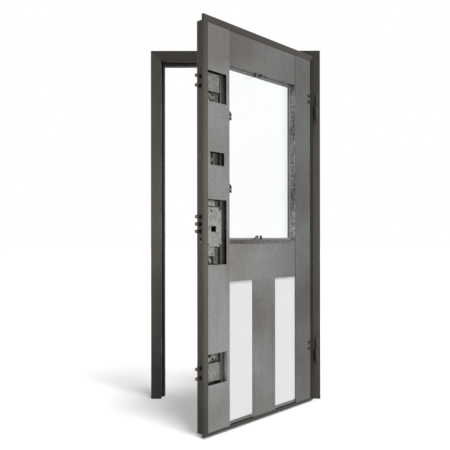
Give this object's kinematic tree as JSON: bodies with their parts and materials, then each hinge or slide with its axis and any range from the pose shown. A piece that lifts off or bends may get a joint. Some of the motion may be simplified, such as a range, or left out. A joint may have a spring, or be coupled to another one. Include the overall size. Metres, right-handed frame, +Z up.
{
  "type": "glazed security door",
  "caption": "Armoured door in a steel frame, its leaf part open and bare of panels, with a glazed window, foam boards and thrown bolts.",
  "frame": {"origin": "on the outer side face of the hinge jamb, at its room-side edge, on the floor", "axes": "+X out of the hinge jamb into the wall, +Y from the room to the outside, +Z up"},
  "size_m": [1.06, 0.8473, 2.18],
  "materials": {
    "brown_paint": "satin dark brown powder coat",
    "galvanised_sheet": "hot-dip galvanised sheet",
    "zinc_plate": "bright zinc plate",
    "foam_board": "white foam board",
    "seal_rubber": "black rubber",
    "bolt_steel": "turned steel",
    "clear_glass": "clear laminated glass"
  },
  "bodies": {
    "frame": {"lock_jamb": "brown_paint", "hinge_jamb": "brown_paint", "frame_head": "brown_paint", "frame_seal": "seal_rubber", "strike_plates": "galvanised_sheet", "upper_hinge_base": "brown_paint", "lower_hinge_base": "brown_paint"},
    "leaf": {"outer_sheet": "galvanised_sheet", "lock_edge_trim": "brown_paint", "hinge_edge_trim": "brown_paint", "top_edge_trim": "brown_paint", "bottom_edge_trim": "brown_paint", "lock_strip": "galvanised_sheet", "hinge_strip": "galvanised_sheet", "top_panel": "galvanised_sheet", "mid_panel": "galvanised_sheet", "centre_stiffener": "galvanised_sheet", "bottom_channel": "galvanised_sheet", "lock_side_insulation": "foam_board", "hinge_side_insulation": "foam_board", "window_head": "galvanised_sheet", "window_sill": "galvanised_sheet", "lock_side_reveal": "galvanised_sheet", "hinge_side_reveal": "galvanised_sheet", "glass_pane": "clear_glass", "glazing_gasket": "seal_rubber", "glazing_bead": "galvanised_sheet", "lock_side_clips": "zinc_plate", "hinge_side_clips": "zinc_plate", "head_clip": "zinc_plate", "sill_clip": "zinc_plate", "lock_case": "galvanised_sheet", "lock_cover": "zinc_plate", "upper_deviator": "zinc_plate", "lower_deviator": "zinc_plate", "door_limiter": "zinc_plate", "upper_hinge_wing": "brown_paint", "lower_hinge_wing": "brown_paint", "fixed_dogs": "bolt_steel"},
    "main_bolts": {"main_bolts": "bolt_steel"},
    "upper_bolts": {"upper_bolts": "bolt_steel"},
    "lower_bolts": {"lower_bolts": "bolt_steel"},
    "upper_rod": {"upper_rod": "bolt_steel"},
    "lower_rod": {"lower_rod": "bolt_steel"}
  },
  "joints": [
    {"name": "leaf_swing", "type": "hinge", "parent": "frame", "child": "leaf", "pos_m": [-0.0275, -0.031, 0], "axis": [0, 0, 1], "range_deg": [-47.4, 57.6]},
    {"name": "main_bolt_slide", "type": "slide", "parent": "leaf", "child": "main_bolts", "axis": [-0.6769, -0.7361, 0], "range_m": [-0.035, 0]},
    {"name": "upper_bolt_slide", "type": "slide", "parent": "leaf", "child": "upper_bolts", "axis": [-0.6769, -0.7361, 0], "range_m": [-0.035, 0]},
    {"name": "lower_bolt_slide", "type": "slide", "parent": "leaf", "child": "lower_bolts", "axis": [-0.6769, -0.7361, 0], "range_m": [-0.035, 0]},
    {"name": "upper_rod_slide", "type": "slide", "parent": "leaf", "child": "upper_rod", "axis": [0, 0, 1], "range_m": [-0.0175, 0]},
    {"name": "lower_rod_slide", "type": "slide", "parent": "leaf", "child": "lower_rod", "axis": [0, 0, -1], "range_m": [-0.0175, 0]}
  ],
  "couplings": [
    {"joint": "upper_bolt_slide", "follows": "main_bolt_slide", "ratio": 1},
    {"joint": "lower_bolt_slide", "follows": "main_bolt_slide", "ratio": 1},
    {"joint": "upper_rod_slide", "follows": "main_bolt_slide", "ratio": 0.5},
    {"joint": "lower_rod_slide", "follows": "main_bolt_slide", "ratio": 0.5}
  ]
}
